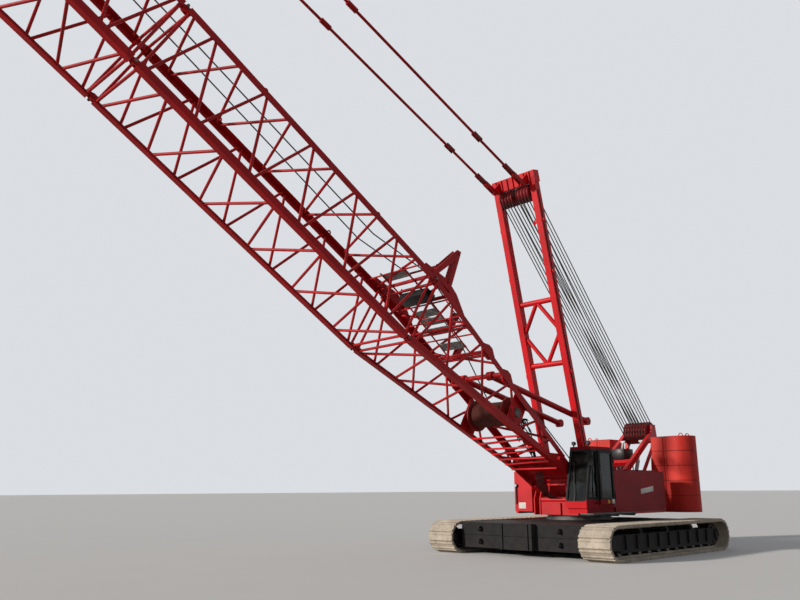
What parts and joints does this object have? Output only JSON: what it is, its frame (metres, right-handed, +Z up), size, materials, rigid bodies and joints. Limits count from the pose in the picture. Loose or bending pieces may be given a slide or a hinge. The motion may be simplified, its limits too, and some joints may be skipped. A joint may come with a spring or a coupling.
{
  "type": "lattice-boom crawler crane, 1:2 scale model",
  "caption": "Red lattice-boom crawler crane with a boom-hoist mast, stacked counterweight, black carbody and side cab, as a half-size model.",
  "frame": {"origin": "on the slewing axis at ground level", "axes": "+X forward along the boom, +Y to the left (cab side), +Z up"},
  "size_m": [28.6508, 4.06, 16.7026],
  "materials": {
    "red_paint": "satin, slightly dusty",
    "black_paint": "satin, dusty",
    "shoe_steel": "rough, covered with dry soil",
    "bare_steel": "greased steel",
    "rope": "wire rope, matte",
    "glass": "tinted",
    "seat": "matte"
  },
  "bodies": {
    "undercarriage": {"carbody": "black_paint", "slew_ring": "bare_steel", "carbody_weight_front": "black_paint", "carbody_weight_rear": "black_paint", "crawler_frame_left": "black_paint", "crawler_frame_right": "black_paint", "wheels_left": "bare_steel", "wheels_right": "bare_steel", "track_left": "shoe_steel", "track_right": "shoe_steel"},
    "upperworks": {"bed": "red_paint", "house_left": "red_paint", "house_right": "red_paint", "drum_front": "red_paint", "drum_rear": "red_paint", "drum_boom_hoist": "red_paint", "walkway_left": "black_paint", "gantry": "red_paint", "gantry_sheaves": "red_paint", "counterweight_tray": "red_paint", "counterweight_left": "red_paint", "counterweight_right": "red_paint", "cab_shell": "black_paint", "cab_glass": "glass", "cab_seat": "seat"},
    "door": {"cab_door": "black_paint", "cab_door_glass": "glass"},
    "mast": {"mast": "red_paint", "mast_sheaves": "red_paint"},
    "boom": {"boom_butt": "red_paint", "boom_insert_1": "red_paint", "boom_insert_2": "red_paint", "boom_insert_3": "red_paint", "boom_insert_short": "red_paint", "boom_top": "red_paint", "point_sheaves": "bare_steel", "butt_drum": "red_paint", "rope_guide": "red_paint", "boom_stops": "red_paint"},
    "pendants": {"pendants": "red_paint"},
    "hook": {"load_falls": "rope", "hook_block": "red_paint", "hook_sheaves": "bare_steel"}
  },
  "joints": [
    {"name": "slew", "type": "hinge", "parent": "undercarriage", "child": "upperworks", "pos_m": [0, 0, 0.7], "axis": [0, 0, 1], "continuous": true},
    {"name": "boom_luff", "type": "hinge", "parent": "upperworks", "child": "boom", "pos_m": [0.529, 0, 1.184], "axis": [0, -1, 0], "range_deg": [-30, 51]},
    {"name": "mast_luff", "type": "hinge", "parent": "upperworks", "child": "mast", "pos_m": [0.25, 0, 1.213], "axis": [0, -1, 0], "range_deg": [-32, 54]},
    {"name": "pendant_swing", "type": "hinge", "parent": "boom", "child": "pendants", "pos_m": [24.51592, 0, 16.59436], "axis": [0, -1, 0], "range_deg": [-2, 2]},
    {"name": "hook_hang", "type": "hinge", "parent": "boom", "child": "hook", "pos_m": [25.52589, 0, 15.89039], "axis": [0, -1, 0], "range_deg": [-52, 31]},
    {"name": "cab_door_hinge", "type": "hinge", "parent": "upperworks", "child": "door", "pos_m": [0.39, 1.086, 1.4], "axis": [0, 0, 1], "range_deg": [0, 95]}
  ],
  "couplings": [
    {"joint": "mast_luff", "follows": "boom_luff", "ratio": 1.034},
    {"joint": "pendant_swing", "follows": "boom_luff", "ratio": -0.0136},
    {"joint": "hook_hang", "follows": "boom_luff", "ratio": -1}
  ]
}
